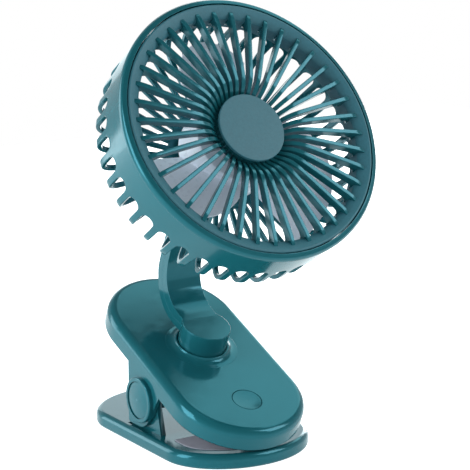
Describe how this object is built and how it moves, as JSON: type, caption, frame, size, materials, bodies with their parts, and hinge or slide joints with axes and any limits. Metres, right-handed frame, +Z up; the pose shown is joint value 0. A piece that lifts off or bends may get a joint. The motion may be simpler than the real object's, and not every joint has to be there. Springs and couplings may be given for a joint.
{
  "type": "clip-on camping fan",
  "caption": "Round caged fan head that tilts on a curved swivel arm above a sprung clip base, which also stands on a table or clamps to an edge.",
  "frame": {"origin": "centre of the flat underside pad, straight below the clip's hinge pin", "axes": "+Z up from the resting face, -Y the way the fan blows and the clip opens, X along the hinge pin"},
  "size_m": [0.142, 0.1515, 0.2287],
  "materials": {
    "shell": "semi-gloss moulded",
    "cap": "fine matt texture",
    "dark_plastic": "matt",
    "pad": "matt",
    "steel": "plated",
    "impeller": "satin, slightly frosted",
    "battery": "foil pouch",
    "board": "solder mask",
    "brass": "sintered",
    "copper": "enamelled wire",
    "magnet": "ferrite"
  },
  "bodies": {
    "base": {"lower_jaw": "shell", "base_plate": "dark_plastic", "base_screws": "steel", "underside_pad": "pad", "lower_grip_pad": "pad"},
    "clip": {"upper_housing": "shell", "housing_cover": "shell", "cover_screws": "steel", "upper_grip_pad": "pad", "battery_pack": "battery", "circuit_board": "board", "charging_board": "board", "charging_port": "steel", "button_switch": "dark_plastic", "pivot_pin": "steel", "hinge_cap_left": "shell", "hinge_cap_right": "shell", "clamp_springs": "steel"},
    "button": {"power_button": "shell"},
    "arm": {"support_arm": "shell", "arm_back_cover": "shell", "swivel_washer": "steel", "swivel_screw": "steel"},
    "head": {"rear_shell": "shell", "front_grille": "shell", "hub_cap": "cap", "tilt_screw": "steel", "tilt_nut": "steel", "tilt_washers": "dark_plastic", "bearing_sleeve": "brass", "stator_core": "steel", "stator_windings": "copper", "motor_screws": "steel"},
    "fan": {"impeller": "impeller", "motor_shaft": "steel", "rotor_magnet": "magnet"}
  },
  "joints": [
    {"name": "clip_hinge", "type": "hinge", "parent": "base", "child": "clip", "pos_m": [0, 0, 0.0237], "axis": [-1, 0, 0], "range_deg": [0, 38], "stiffness_Nm_per_rad": 0.35, "springref_deg": -68.75, "deforming": ["clamp_springs"]},
    {"name": "arm_swivel", "type": "hinge", "parent": "clip", "child": "arm", "pos_m": [0, -0.0011, 0.04753], "axis": [0, -0.3939, 0.9191], "range_deg": [-170, 170]},
    {"name": "head_tilt", "type": "hinge", "parent": "arm", "child": "head", "pos_m": [0, -0.0076, 0.14256], "axis": [-1, 0, 0], "range_deg": [-45, 55]},
    {"name": "fan_spin", "type": "hinge", "parent": "head", "child": "fan", "pos_m": [0, -0.0477, 0.1693], "axis": [0, -0.832, 0.5548], "continuous": true},
    {"name": "button_press", "type": "slide", "parent": "clip", "child": "button", "axis": [0, 0.3939, -0.9191], "range_m": [0, 0.0008], "stiffness_N_per_m": 600, "springref_m": -0.002}
  ]
}
